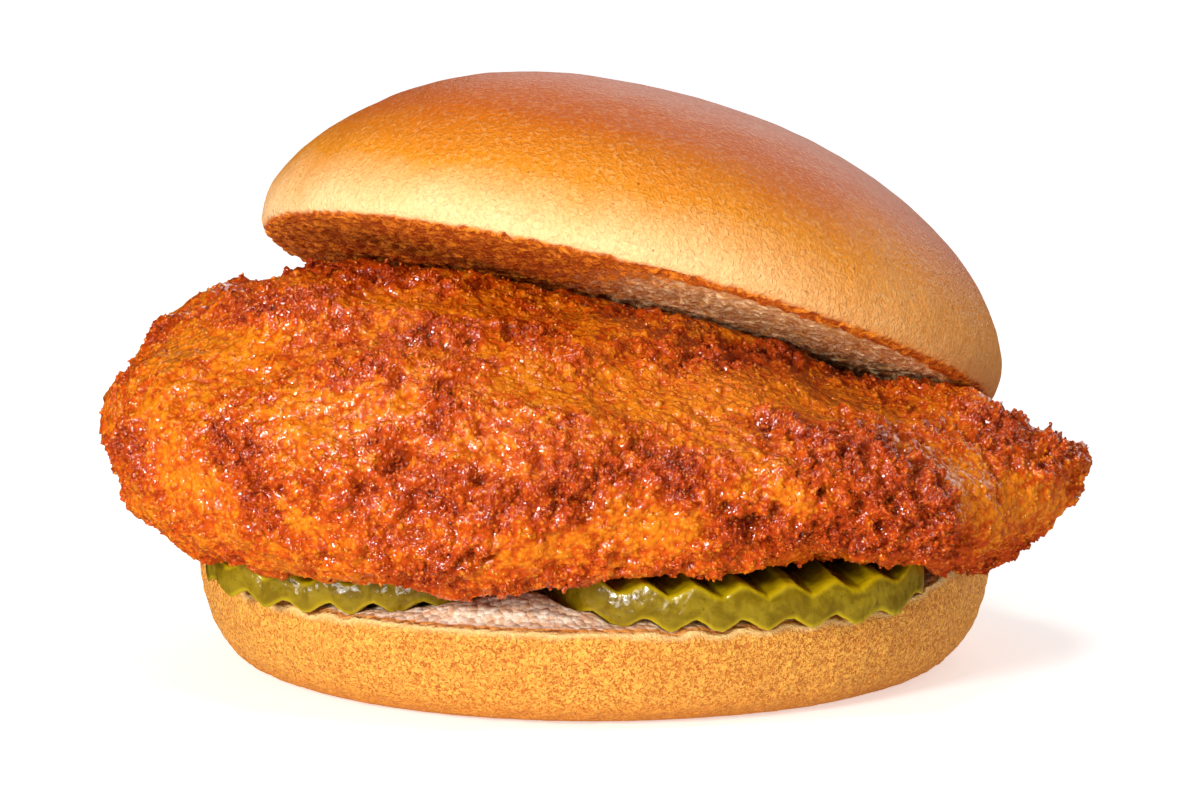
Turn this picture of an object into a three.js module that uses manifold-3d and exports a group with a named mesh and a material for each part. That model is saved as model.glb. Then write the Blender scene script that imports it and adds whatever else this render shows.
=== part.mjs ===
// A fried chicken burger: a whole breaded chicken fillet on two crinkle-cut pickle
// slices, between the heel and the tilted crown of a soft round bun.
//
// Millimetres, +Z up. The origin is the centre of the heel's underside, +X points to
// the fillet's thin end and -Y to the open front, where the crown is lifted.
//
// The bun halves are lathed and then made uneven, the pickles are boxes bent to a
// wavy disc, and the fillet is a sphere stretched over a named outline. Soft pieces
// that press on each other are cut back with manifold-3d, so that a thin gap is left.

import * as THREE from "three";
import { mergeVertices } from "three/addons/utils/BufferGeometryUtils.js";
import Module from "manifold-3d";

const wasm = await Module();
wasm.setup();

// ---------------------------------------------------------------- driving sizes

const GAP = 0.3; // clearance between two pieces that rest on each other

const HEEL = {
  radius: 51.3,
  height: 13.1, // at the front, where the fillet presses it down
  cornerWidth: 8, // the soft lower corner, measured along the table
  cornerHeight: 11.6, // and measured up the side
  lip: 0.8, // rounding of the cut edge
  right: { rise: 3.3, from: 33, to: 48 }, // the cut climbs away from the pressed front
  left: { rise: 1.4, from: 37, to: 51 },
  back: { rise: 1.6, from: -20, to: 45 },
  lumps: { height: 0.35, size: 22, seed: 3 },
  segments: 64,
  cornerSteps: 5,
  undersideRings: [0, 26], // radii of the facets' rings
  topRings: [43, 34, 22, 0],
};

const CROWN = {
  radius: 48.8,
  wall: 2.8, // height of the widest line over the cut face
  dome: 26.7, // from the widest line to the top
  domeRoundness: 0.95, // powers of the two halves of the dome's curve
  domeFullness: 1.13,
  lip: 0.9,
  centre: [3.7, 3, 42.7],
  roll: 14.2, // degrees, right side down
  pitch: 15.4, // degrees, front edge up
  lumps: { height: 0.5, size: 26, seed: 7 },
  segments: 60,
  domeSteps: 13,
  undersideRings: [0, 28],
};

const PICKLE = {
  wavePitch: 5.75,
  waveHeight: 1.5, // from trough to crest
  press: 0.15, // depth that its troughs sink into the heel
  droop: { depth: 0.8, from: 44, to: 53 }, // how it hangs where it overlaps the heel's rim
  squareness: 2.4, // power of the outline, 2 is an ellipse
  edgeRounding: 0.4,
  envelopeSides: 28,
  columns: 48, // across the waves
  rows: 3, // along the waves
  layers: 2, // through the thickness
  crowding: 0.16, // of the columns towards the ends, where the outline turns fast
};

// Each slice: its centre, half its length and width, the turn of its length about
// +Z, and the trough of the wave that lies nearest its middle.
const PICKLES = [
  { name: "pickle_left", at: [-29.4, -26.4], half: [19.6, 13.4], turn: -21, trough: -1.4, thickness: 3.9 },
  { name: "pickle_right", at: [17.2, -33.6], half: [23.4, 15.8], turn: 13, trough: -0.1, thickness: 4.4 },
];

// The widest line of the fillet, seen from above, starting at the thin right end
// and running round the back. Each point is [x, y, z, shoulder, belly]: the last two
// say how square the flesh is above and below the line (2 is a plain ellipse).
const FILLET_EDGE = [
  [63.6, -12, 27.4, 2.2, 2.6],
  [58, 7, 26, 2.2, 3.6],
  [40, 27, 24.5, 2.4, 3.4],
  [8, 37.5, 24, 2.8, 3],
  [-24, 40, 26.5, 3, 3],
  [-50, 29, 29.5, 3.6, 3],
  [-60.8, 8, 30.6, 4.4, 3.2],
  [-61.8, -13, 30.4, 4.4, 4],
  [-56, -35, 30.4, 4, 5],
  [-41, -50, 30, 3.2, 5],
  [-20, -57.6, 29, 2.5, 5],
  [6, -57.4, 28.5, 2.5, 5],
  [32, -51, 27.5, 2.5, 5],
  [54, -34, 27, 2.3, 4],
];

const FILLET = {
  core: [-3, -8], // plan point that the outline is drawn round
  edgeSteps: 240, // samples of the widest line
  detail: 15, // icosphere subdivision
  frontShare: 0.2, // crowds the facets towards the open front
  crownSag: 0.2, // how far the roof pushes into the crown before it is cut back
};

// Height of the fillet's roof along X, and of its floor where it hangs over the heel's
// rim. Each pair is [x, z].
const FILLET_ROOF = [
  [-66, 50],
  [-45, 49.7],
  [-33, 51],
  [-22, 50.5],
  [-8, 48.8],
  [6, 47.5],
  [18, 44],
  [30, 40.5],
  [44, 39],
  [56, 37.6],
  [68, 30],
];
const FILLET_HANGING = [
  [-62, 13],
  [-46, 13.6],
  [-34, 13.8],
  [-22, 13.1],
  [-12, 12.7],
  [0, 13.7],
  [12, 14.6],
  [22, 16.6],
  [30, 15.8],
  [38, 12.4],
  [50, 10.7],
  [66, 12],
];
const FILLET_REST = {
  clearance: 0.9, // over the heel at the back
  lift: { height: 4.6, full: -18, none: 12 }, // the pickles hold the front up, along Y
  hang: { from: 46, to: 54 }, // distance from the heel's centre where the flesh hangs
};

// The larger ridges of crust, and the creases between them. Each one runs between two
// points, and fades out over its reach.
const CRUST = [
  { name: "knuckle", from: [-42, -18, 49], to: [-30, -32, 48], reach: 5, rise: 3 },
  { name: "crease by the knuckle", from: [-27, -29, 49], to: [-25, -40, 46], reach: 3.5, rise: -1.4 },
  { name: "upper edge", from: [-37, -14, 51], to: [-19, -20, 51], reach: 3.5, rise: 1.6 },
  { name: "upper patch", from: [-23, -39, 47], to: [-5, -42, 44], reach: 5, rise: 1.8 },
  { name: "shoulder", from: [-56, -8, 43], to: [-53, -12, 45], reach: 4.5, rise: 1 },
  { name: "crease of the thick end", from: [-47, -36, 42], to: [-36, -39, 45], reach: 4.5, rise: -1.2 },
  { name: "thick end", from: [-45, -48, 34], to: [-30, -57, 28], reach: 6, rise: 1.6 },
  { name: "middle", from: [-32, -43, 44], to: [-4, -54, 39], reach: 4.5, rise: 1.5 },
  { name: "hollow", from: [3, -47, 42], to: [20, -45, 39], reach: 7, rise: -1.5 },
  { name: "belly", from: [-24, -55, 21], to: [-13, -55, 19], reach: 6, rise: 1.6 },
  { name: "front", from: [-15, -58, 27], to: [-1, -57, 33], reach: 5.5, rise: 1.9 },
  { name: "flake", from: [10, -20, 44], to: [22, -13, 42], reach: 3.6, rise: 2.7 },
  { name: "nodule by the crown", from: [42, -15, 37], to: [46, -18, 36], reach: 4.5, rise: 3.6 },
  { name: "right patch", from: [22, -47, 39], to: [28, -48, 35], reach: 5, rise: 2.7 },
  { name: "right ridge", from: [33, -43, 35], to: [41, -47, 26], reach: 5, rise: 2.3 },
  { name: "lower ridge", from: [10, -56, 33], to: [33, -52, 27], reach: 4.5, rise: 1.6 },
  { name: "lower right", from: [38, -49, 23], to: [44, -41, 19], reach: 5.5, rise: 1.9 },
  { name: "crease of the thin end", from: [52, -30, 32], to: [51, -39, 26], reach: 3.5, rise: -1.5 },
  { name: "thin end", from: [53, -30, 32], to: [60, -21, 29], reach: 4, rise: 1.6 },
  { name: "back", from: [30, 31, 26], to: [-5, 39, 23], reach: 6, rise: 1.8 },
  { name: "back of the thick end", from: [-30, 38, 27], to: [-54, 21, 31], reach: 6, rise: 1.8 },
  { name: "back crease", from: [-20, 39, 34], to: [-18, 40, 24], reach: 5, rise: -1.4 },
];

const RELIEF = [
  { size: 17, height: 1.8, seed: 11 }, // folds of the meat
  { size: 8, height: 2, seed: 23 }, // craggy breading
];
const RELIEF_LEVEL = 0.3; // the part of each height that lies below the plain form

const FINISH = {
  heel: { color: 0xe8a04a, roughness: 0.85, metalness: 0 },
  crown: { color: 0xd9821f, roughness: 0.45, metalness: 0 },
  fillet: { color: 0xb9581a, roughness: 0.5, metalness: 0 },
  pickle: { color: 0x8d8a1c, roughness: 0.2, metalness: 0 },
};

// ---------------------------------------------------------------- small tools

const radians = THREE.MathUtils.degToRad;
const smoothstep = THREE.MathUtils.smoothstep;

/** A repeatable number from 0 to 1 for one cell of a noise grid. */
function hash(ix, iy, iz, seed) {
  let h = Math.imul(ix, 374761393) ^ Math.imul(iy, 668265263);
  h ^= Math.imul(iz, 2147483647) ^ Math.imul(seed, 1274126177);
  h = Math.imul(h ^ (h >>> 13), 1103515245);
  h = Math.imul(h ^ (h >>> 16), 2246822519);
  return ((h ^ (h >>> 15)) >>> 0) / 4294967295;
}

/** Smooth value noise from -1 to 1 at a point, with cells of the given size. */
function noise(point, size, seed) {
  const [px, py, pz] = [point.x / size, point.y / size, point.z / size];
  const [ix, iy, iz] = [Math.floor(px), Math.floor(py), Math.floor(pz)];
  const ease = (t) => t * t * t * (t * (t * 6 - 15) + 10);
  const [fx, fy, fz] = [ease(px - ix), ease(py - iy), ease(pz - iz)];
  let sum = 0;
  for (const dx of [0, 1]) {
    for (const dy of [0, 1]) {
      for (const dz of [0, 1]) {
        const weight = (dx ? fx : 1 - fx) * (dy ? fy : 1 - fy) * (dz ? fz : 1 - fz);
        sum += weight * hash(ix + dx, iy + dy, iz + dz, seed);
      }
    }
  }
  return sum * 2 - 1;
}

/** The height at x of a smooth curve through [x, z] pairs. */
function curveHeight(pairs, x) {
  const last = pairs.length - 1;
  if (x <= pairs[0][0]) return pairs[0][1];
  if (x >= pairs[last][0]) return pairs[last][1];
  const i = pairs.findIndex(([px]) => px > x) - 1;
  const t = (x - pairs[i][0]) / (pairs[i + 1][0] - pairs[i][0]);
  const [a, b, c, d] = [i - 1, i, i + 1, i + 2].map(
    (k) => pairs[THREE.MathUtils.clamp(k, 0, last)][1],
  );
  const bend = 2 * b + (c - a) * t + (2 * a - 5 * b + 4 * c - d) * t * t;
  return (bend + (3 * b - a - 3 * c + d) * t * t * t) / 2;
}

/** A geometry with shared vertices and positions only. */
function welded(geometry) {
  const bare = geometry.clone();
  bare.deleteAttribute("normal");
  bare.deleteAttribute("uv");
  return mergeVertices(bare, 1e-4);
}

/** Calls move(point, normal) on every vertex of a geometry, to change the point in place. */
function reshape(geometry, move) {
  geometry.computeVertexNormals();
  const position = geometry.getAttribute("position");
  const normals = geometry.getAttribute("normal").clone();
  for (let i = 0; i < position.count; i++) {
    const point = new THREE.Vector3().fromBufferAttribute(position, i);
    move(point, new THREE.Vector3().fromBufferAttribute(normals, i));
    position.setXYZ(i, point.x, point.y, point.z);
  }
  geometry.deleteAttribute("normal");
  return geometry;
}

/** A welded geometry, moved by a matrix, as a manifold-3d solid. */
function solidOf(geometry, matrix = new THREE.Matrix4()) {
  const placed = geometry.clone().applyMatrix4(matrix);
  return new wasm.Manifold(
    new wasm.Mesh({
      numProp: 3,
      vertProperties: placed.getAttribute("position").array,
      triVerts: new Uint32Array(placed.index.array),
    }),
  );
}

/** The largest body of a manifold-3d solid, as a geometry. */
function geometryOf(solid) {
  const bodies = solid.decompose().sort((a, b) => b.volume() - a.volume());
  const { vertProperties, triVerts } = bodies[0].getMesh();
  return new THREE.BufferGeometry()
    .setAttribute("position", new THREE.BufferAttribute(vertProperties, 3))
    .setIndex(new THREE.BufferAttribute(triVerts, 1));
}

/** A named mesh with its own material. */
function piece(name, geometry, finish) {
  const faceted = geometry.toNonIndexed();
  faceted.computeVertexNormals();
  const mesh = new THREE.Mesh(faceted, new THREE.MeshStandardMaterial(finish));
  mesh.name = name;
  return mesh;
}

/** A lathed solid about +Z, with its shared vertices merged. */
function lathed(profile, segments) {
  const points = profile.map(([r, z]) => new THREE.Vector2(r, z));
  return welded(new THREE.LatheGeometry(points, segments).rotateX(Math.PI / 2));
}

// ---------------------------------------------------------------- bun

/** Height of the heel's cut face: low where the front is pressed, rising to the sides and back. */
function heelTop(x, y) {
  const climb = ({ rise, from, to }, along) => rise * smoothstep(along, from, to);
  return HEEL.height + climb(HEEL.right, x) + climb(HEEL.left, -x) + climb(HEEL.back, y);
}

/** The heel: a soft disc with a deep lower corner, grown outwards by `grow` for cutting. */
function heelGeometry(grow = 0) {
  const { radius, height, cornerWidth, cornerHeight, lip, cornerSteps, lumps } = HEEL;
  const profile = HEEL.undersideRings.map((r) => [r, 0]);
  for (let i = 0; i <= cornerSteps; i++) {
    const a = (i / cornerSteps) * (Math.PI / 2);
    const r = radius - cornerWidth * (1 - Math.sin(a));
    profile.push([r, cornerHeight * (1 - Math.cos(a))]);
  }
  profile.push([radius - 0.3 * lip, height - 0.3 * lip], [radius - lip, height]);
  profile.push(...HEEL.topRings.map((r) => [r, height]));

  return reshape(lathed(profile, HEEL.segments), (p) => {
    const out = Math.hypot(p.x, p.y);
    const share = p.z / height; // 0 on the underside and 1 on the cut face
    if (out > 0) {
      const rim = new THREE.Vector3(p.x, p.y, 0).multiplyScalar(radius / out);
      const swell = lumps.height * noise(rim, lumps.size, lumps.seed) * Math.min(1, share * 3);
      const scale = 1 + (swell * (out / radius) + grow * share) / out;
      p.x *= scale;
      p.y *= scale;
    }
    p.z = share * heelTop(p.x, p.y) + (share > 0.99 ? grow : 0);
  });
}

/** The crown in its own frame: cut face at z = 0, dome up. */
function crownGeometry() {
  const { radius, wall, dome, lip, domeSteps, lumps } = CROWN;
  const profile = CROWN.undersideRings.map((r) => [r, 0]);
  profile.push([radius - lip, 0], [radius - 0.2 * lip, 0.45 * lip]);
  for (let i = 0; i < domeSteps; i++) {
    const a = (i / domeSteps) * (Math.PI / 2);
    const r = radius * Math.cos(a) ** CROWN.domeRoundness;
    profile.push([r, wall + dome * Math.sin(a) ** CROWN.domeFullness]);
  }
  profile.push([0, wall + dome]);
  return reshape(lathed(profile, CROWN.segments), (p, normal) => {
    const share = smoothstep(p.z, 0, 2 * wall);
    p.addScaledVector(normal, lumps.height * share * noise(p, lumps.size, lumps.seed));
  });
}

/** The group that tilts the crown: right side down, front edge up. */
function crownPlace() {
  const group = new THREE.Group();
  group.position.set(...CROWN.centre);
  const roll = new THREE.Matrix4().makeRotationY(radians(CROWN.roll));
  const pitch = new THREE.Matrix4().makeRotationX(-radians(CROWN.pitch));
  group.quaternion.setFromRotationMatrix(roll.multiply(pitch));
  group.updateMatrix();
  return group;
}

// ---------------------------------------------------------------- pickles

/** The group that places one pickle slice and turns its grooves. */
function picklePlace(slice) {
  const group = new THREE.Group();
  group.position.set(slice.at[0], slice.at[1], 0);
  group.rotation.z = radians(slice.turn);
  group.updateMatrix();
  return group;
}

/** A crinkle-cut slice that follows the heel under it. `grow` swells it for cutting. */
function pickleGeometry(slice, place, grow = 0) {
  const { wavePitch, waveHeight, press, droop, squareness, edgeRounding, crowding } = PICKLE;
  const { columns, rows, layers } = PICKLE;
  const box = welded(new THREE.BoxGeometry(2, 2, 2, columns, rows, layers));
  const [halfLength, halfWidth] = slice.half.map((half) => half + grow);
  const middle = slice.thickness / 2;
  return reshape(box, (p) => {
    const [u, v, w] = [p.x, p.y, p.z];
    const inset = edgeRounding * (Math.abs(w) > 0.99 ? 1 : 0);
    const across = 0.997 * u * (1 + crowding - crowding * u * u); // just short of the tip
    const rowHalf = (1 - Math.abs(across) ** squareness) ** (1 / squareness);
    p.set(across * (halfLength - inset), v * rowHalf * (halfWidth - inset), 0);
    const wave = -(waveHeight / 2) * Math.cos((2 * Math.PI * (p.x - slice.trough)) / wavePitch);
    const { x, y } = p.clone().applyMatrix4(place.matrix);
    const hang = press + droop.depth * smoothstep(Math.hypot(x, y), droop.from, droop.to);
    p.z = heelTop(x, y) - hang + waveHeight / 2 + wave + middle + w * (middle + grow);
  });
}

/** A plain block round a slice, that reaches a gap above the crests of its waves. */
function pickleEnvelope(slice) {
  const [halfLength, halfWidth] = slice.half.map((half) => half + GAP);
  const top = HEEL.height - PICKLE.press + PICKLE.waveHeight + slice.thickness + 2 * GAP;
  const block = new THREE.CylinderGeometry(1, 1, top, PICKLE.envelopeSides).rotateX(Math.PI / 2);
  return welded(block.translate(0, 0, top / 2).scale(halfLength, halfWidth, 1));
}

// ---------------------------------------------------------------- fillet

/** The fillet's widest line as a list of {angle, point, shape} about its core. */
function filletEdge() {
  const points = FILLET_EDGE.map(([x, y, z]) => new THREE.Vector3(x, y, z));
  const curve = new THREE.CatmullRomCurve3(points, true, "centripetal");
  return curve.getPoints(FILLET.edgeSteps).map((point, i) => {
    const row = (i / FILLET.edgeSteps) * FILLET_EDGE.length;
    const from = FILLET_EDGE[Math.floor(row) % FILLET_EDGE.length];
    const to = FILLET_EDGE[(Math.floor(row) + 1) % FILLET_EDGE.length];
    const [shoulder, belly] = [3, 4].map((k) => THREE.MathUtils.lerp(from[k], to[k], row % 1));
    const angle = Math.atan2(point.y - FILLET.core[1], point.x - FILLET.core[0]);
    return { angle, point, shape: new THREE.Vector2(shoulder, belly) };
  });
}

const FILLET_LINE = filletEdge().sort((a, b) => a.angle - b.angle);

/** The widest line's point and shape in one direction from the core. */
function edgeAt(angle) {
  const count = FILLET_LINE.length;
  let i = FILLET_LINE.findIndex((e) => e.angle > angle);
  if (i < 0) i = 0;
  const [a, b] = [FILLET_LINE[(i + count - 1) % count], FILLET_LINE[i]];
  const turn = 2 * Math.PI;
  const span = (b.angle - a.angle + turn) % turn;
  const t = span > 0 ? ((angle - a.angle + turn) % turn) / span : 0;
  return { point: a.point.clone().lerp(b.point, t), shape: a.shape.clone().lerp(b.shape, t) };
}

/** Height of the crown's cut face over a plan point. */
function crownFace(x, y) {
  const up = new THREE.Vector3(0, 0, 1).applyQuaternion(crownPlace().quaternion);
  const [cx, cy, cz] = CROWN.centre;
  return cz - (up.x * (x - cx) + up.y * (y - cy)) / up.z;
}

/** Height that the fillet's top would have away from its rounded edge. */
function filletRoof(x, y) {
  return Math.min(curveHeight(FILLET_ROOF, x), crownFace(x, y) + FILLET.crownSag);
}

/** Height of the fillet's underside: resting inside the heel's rim and hanging outside it. */
function filletFloor(x, y) {
  const { clearance, lift, hang } = FILLET_REST;
  const held = lift.height * (1 - smoothstep(y, lift.full, lift.none));
  const rest = heelTop(x, y) + clearance + held;
  const hanging = smoothstep(Math.hypot(x, y), hang.from, hang.to);
  return rest + (curveHeight(FILLET_HANGING, x) - rest) * hanging;
}

/** The fillet's surface point for one direction of the unit sphere. */
function filletPoint(direction) {
  const [cx, cy] = FILLET.core;
  const { point: edge, shape } = edgeAt(Math.atan2(direction.y, direction.x));
  const out = Math.min(1, Math.hypot(direction.x, direction.y));
  const x = cx + (edge.x - cx) * out;
  const y = cy + (edge.y - cy) * out;
  const upper = direction.z > 0;
  const full = Math.sqrt(1 - out ** (upper ? shape.x : shape.y));
  const target = upper ? filletRoof(x, y) : filletFloor(x, y);
  return new THREE.Vector3(x, y, edge.z + (target - edge.z) * full);
}

/** How far the breading stands out at a point: folds, crags and named ridges. */
function breadingHeight(p) {
  let height = 0;
  for (const { size, height: share, seed } of RELIEF) {
    height += share * (Math.abs(noise(p, size, seed)) - RELIEF_LEVEL);
  }
  for (const { from, to, reach, rise } of CRUST) {
    const ridge = new THREE.Line3(new THREE.Vector3(...from), new THREE.Vector3(...to));
    const nearest = ridge.closestPointToPoint(p, true, new THREE.Vector3());
    height += rise * Math.exp(-((nearest.distanceTo(p) / reach) ** 2));
  }
  return height;
}

/** The breaded fillet before it is fitted between its neighbours. */
function filletGeometry() {
  const sphere = welded(new THREE.IcosahedronGeometry(1, FILLET.detail));
  reshape(sphere, (p) => {
    p.y -= FILLET.frontShare;
    p.copy(filletPoint(p.normalize()));
  });
  return reshape(sphere, (p, normal) => p.addScaledVector(normal, breadingHeight(p)));
}

// ---------------------------------------------------------------- assembly

const crownGroup = crownPlace();
const slices = PICKLES.map((slice) => ({ ...slice, place: picklePlace(slice) }));
const cutters = slices.map((slice) => {
  return solidOf(pickleGeometry(slice, slice.place, GAP), slice.place.matrix);
});

let heel = solidOf(heelGeometry());
for (const cutter of cutters) heel = heel.subtract(cutter);

// Everything over the crown's cut face, lowered by the gap.
const [roomWidth, roomHeight] = [120, 40];
const aboveCut = new THREE.BoxGeometry(roomWidth, roomWidth, roomHeight);
aboveCut.translate(0, 0, roomHeight / 2 - GAP);
let fillet = solidOf(filletGeometry()).subtract(solidOf(welded(aboveCut), crownGroup.matrix));
for (const slice of slices) {
  fillet = fillet.subtract(solidOf(pickleEnvelope(slice), slice.place.matrix));
}
for (const cutter of cutters) fillet = fillet.subtract(cutter);
fillet = fillet.subtract(solidOf(heelGeometry(GAP)));

const burger = new THREE.Group();
burger.add(piece("bun_heel", geometryOf(heel), FINISH.heel));
for (const slice of slices) {
  slice.place.add(piece(slice.name, pickleGeometry(slice, slice.place), FINISH.pickle));
  burger.add(slice.place);
}
burger.add(piece("chicken_fillet", geometryOf(fillet), FINISH.fillet));
crownGroup.add(piece("bun_crown", crownGeometry(), FINISH.crown));
burger.add(crownGroup);

export default burger;
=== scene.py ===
"""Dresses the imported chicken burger: soft bread, wet pickles and fried breading.

Lengths in the tables are millimetres, and every mesh is in metres in the frame of the
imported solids: the origin is the centre of the heel's underside, +Z is up, +X points to
the fillet's thin end and -Y to the open front.
"""

import logging
import math
from dataclasses import dataclass, field
from enum import Enum

import bmesh
import bpy
import numpy as np
from mathutils import Euler, Matrix, Vector, noise
from mathutils.bvhtree import BVHTree


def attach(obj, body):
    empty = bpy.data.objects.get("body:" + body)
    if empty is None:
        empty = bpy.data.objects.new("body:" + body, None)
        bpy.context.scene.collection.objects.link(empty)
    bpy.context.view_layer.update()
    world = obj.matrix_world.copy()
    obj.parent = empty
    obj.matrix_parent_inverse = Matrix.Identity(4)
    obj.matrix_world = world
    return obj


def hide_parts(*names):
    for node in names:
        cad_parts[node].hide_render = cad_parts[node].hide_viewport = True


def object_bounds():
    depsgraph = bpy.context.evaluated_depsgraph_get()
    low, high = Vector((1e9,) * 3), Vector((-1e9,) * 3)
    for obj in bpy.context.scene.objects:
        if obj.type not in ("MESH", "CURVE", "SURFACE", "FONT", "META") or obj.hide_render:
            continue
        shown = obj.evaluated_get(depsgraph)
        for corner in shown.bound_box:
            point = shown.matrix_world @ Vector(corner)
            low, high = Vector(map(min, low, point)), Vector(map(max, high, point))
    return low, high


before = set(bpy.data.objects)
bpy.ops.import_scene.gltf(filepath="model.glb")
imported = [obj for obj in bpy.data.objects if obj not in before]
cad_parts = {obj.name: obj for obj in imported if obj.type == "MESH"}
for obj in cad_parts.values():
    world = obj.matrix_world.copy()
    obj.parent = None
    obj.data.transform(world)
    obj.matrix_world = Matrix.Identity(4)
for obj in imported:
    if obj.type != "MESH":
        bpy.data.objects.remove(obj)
CAD_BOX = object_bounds()

LOG = logging.getLogger("burger")
MM = 0.001
WELD = 0.002 * MM

Socket = bpy.types.NodeSocket
Field = np.ndarray


class Slot(Enum):
    """The record's material slots."""

    HEEL = "heel_crust"
    CROWN = "crown_crust"
    BREADING = "fried_breading"
    PICKLE = "pickle"


class Blend(Enum):
    """How one colour is laid over another."""

    COVER = "MIX"
    DARKEN = "MULTIPLY"
    LIGHTEN = "SCREEN"


# ---------------------------------------------------------------- numbers over a mesh


def smooth_step(values: Field, low: float, high: float) -> Field:
    """Eases values from 0 at `low` to 1 at `high`.

    Args:
        values: One number a point.
        low: The value that becomes 0.
        high: The value that becomes 1.

    Returns:
        Numbers from 0 to 1.
    """
    share = np.clip((values - low) / (high - low), 0.0, 1.0)
    return share * share * (3.0 - 2.0 * share)


def clouds(points: Field, size: float, seed: int, octaves: int = 3) -> Field:
    """Soft fractal noise at each point.

    Args:
        points: Places in metres, one a row.
        size: Width of the largest blot in millimetres.
        seed: Picks another part of the same noise.
        octaves: Number of ever finer layers.

    Returns:
        Numbers from about -1 to 1.
    """
    shift = Vector((seed * 3.7, seed * 1.9, seed * 5.3))
    scaled = points / (size * MM)
    return np.array([noise.fractal(Vector(p) + shift, 0.9, 2.0, octaves) for p in scaled])


def grains(points: Field, size: float, seed: int, warp: float = 0.35) -> Field:
    """Close round grains, as in a crumb or a breading.

    Args:
        points: Places in metres, one a row.
        size: Usual width of a grain in millimetres.
        seed: Picks another part of the same pattern.
        warp: How far the grains are pulled out of round.

    Returns:
        Heights from 0 in the gaps to 1 on the grains' tops.
    """
    shift = Vector((seed * 2.3, seed * 4.1, seed * 0.7))
    nearest = np.empty(len(points))
    for i, p in enumerate(points / (size * MM)):
        place = Vector(p) + shift
        place += warp * noise.noise_vector(place * 0.9)
        nearest[i] = noise.voronoi(place)[0][0]
    return np.clip(1.0 - (nearest / 0.82) ** 2, 0.0, 1.0) ** 0.75


def segment_distance(points: Field, start: Field, end: Field) -> Field:
    """Distance in metres from each point to the line between two points."""
    along = end - start
    length = float(along @ along)
    share = np.clip((points - start) @ along / length, 0.0, 1.0) if length > 0 else 0.0
    nearest = start + np.outer(share, along) if length > 0 else start
    return np.linalg.norm(points - nearest, axis=1)


# ---------------------------------------------------------------- meshes


def merged_copy(node: str) -> bmesh.types.BMesh:
    """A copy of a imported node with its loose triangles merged.

    Args:
        node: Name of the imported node.

    Returns:
        The copy, which the caller frees.
    """
    copy = bmesh.new()
    copy.from_mesh(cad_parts[node].data)
    bmesh.ops.remove_doubles(copy, verts=copy.verts, dist=WELD)
    return copy


def as_mesh(shape: bmesh.types.BMesh, name: str) -> bpy.types.Mesh:
    """Turns a bmesh into a new mesh and frees it."""
    mesh = bpy.data.meshes.new(name)
    shape.to_mesh(mesh)
    shape.free()
    return mesh


def modified(mesh: bpy.types.Mesh, kind: str, **settings: object) -> bpy.types.Mesh:
    """Applies one modifier to a mesh.

    Args:
        mesh: The mesh, which is removed.
        kind: Blender's name of the modifier.
        **settings: The modifier's settings.

    Returns:
        The new mesh.
    """
    name = mesh.name
    worker = bpy.data.objects.new("worker", mesh)
    bpy.context.scene.collection.objects.link(worker)
    modifier = worker.modifiers.new("work", kind)
    for setting, value in settings.items():
        setattr(modifier, setting, value)
    graph = bpy.context.evaluated_depsgraph_get()
    result = bpy.data.meshes.new_from_object(worker.evaluated_get(graph))
    bpy.data.objects.remove(worker)
    bpy.data.meshes.remove(mesh)
    result.name = name
    return result


def softened(mesh: bpy.types.Mesh, rounds: int) -> bmesh.types.BMesh:
    """Evens out the facets of a mesh.

    Args:
        mesh: The mesh, which is removed.
        rounds: How many times each point moves towards its neighbours.

    Returns:
        A bmesh, which the caller frees.
    """
    shape = bmesh.new()
    shape.from_mesh(mesh)
    bpy.data.meshes.remove(mesh)
    for _ in range(rounds):
        bmesh.ops.smooth_vert(
            shape, verts=shape.verts, factor=0.5,
            use_axis_x=True, use_axis_y=True, use_axis_z=True,
        )
    return shape


def refine(shape: bmesh.types.BMesh, faces: list[bmesh.types.BMFace]) -> None:
    """Halves the spacing of some faces and rounds them again."""
    edges = list({edge for face in faces for edge in face.edges})
    made = bmesh.ops.subdivide_edges(shape, edges=edges, cuts=1, use_grid_fill=True)
    fresh = [item for item in made["geom_inner"] if isinstance(item, bmesh.types.BMVert)]
    bmesh.ops.smooth_vert(
        shape, verts=fresh, factor=0.5, use_axis_x=True, use_axis_y=True, use_axis_z=True
    )


def points_of(mesh: bpy.types.Mesh) -> Field:
    """The mesh's points in metres, one a row."""
    flat = np.empty(len(mesh.vertices) * 3)
    mesh.vertices.foreach_get("co", flat)
    return flat.reshape(-1, 3)


def normals_of(mesh: bpy.types.Mesh) -> Field:
    """The mesh's point normals, one a row."""
    flat = np.empty(len(mesh.vertices) * 3)
    mesh.vertex_normals.foreach_get("vector", flat)
    return flat.reshape(-1, 3)


def set_points(mesh: bpy.types.Mesh, points: Field) -> None:
    """Moves the mesh's points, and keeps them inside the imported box."""
    low, high = (np.array(corner) for corner in CAD_BOX)
    mesh.vertices.foreach_set("co", np.clip(points, low, high).ravel())
    mesh.update()


def store(mesh: bpy.types.Mesh, name: str, values: Field) -> None:
    """Keeps one number a point for the material to read."""
    layer = mesh.attributes.new(name, "FLOAT", "POINT")
    layer.data.foreach_set("value", np.clip(values, 0.0, 1.0).astype(np.float32))


def room_round(points: Field, neighbours: tuple[str, ...]) -> Field:
    """Free room at each point before it touches a neighbouring node.

    Args:
        points: Places in metres, one a row.
        neighbours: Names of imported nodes.

    Returns:
        Distances in metres.
    """
    room = np.full(len(points), 1.0)
    for node in neighbours:
        shape = merged_copy(node)
        tree = BVHTree.FromBMesh(shape)
        shape.free()
        reach = 4.0 * MM
        for i, p in enumerate(points):
            found = tree.find_nearest(Vector(p), reach)[3]
            if found is not None:
                room[i] = min(room[i], found)
    return room


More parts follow.
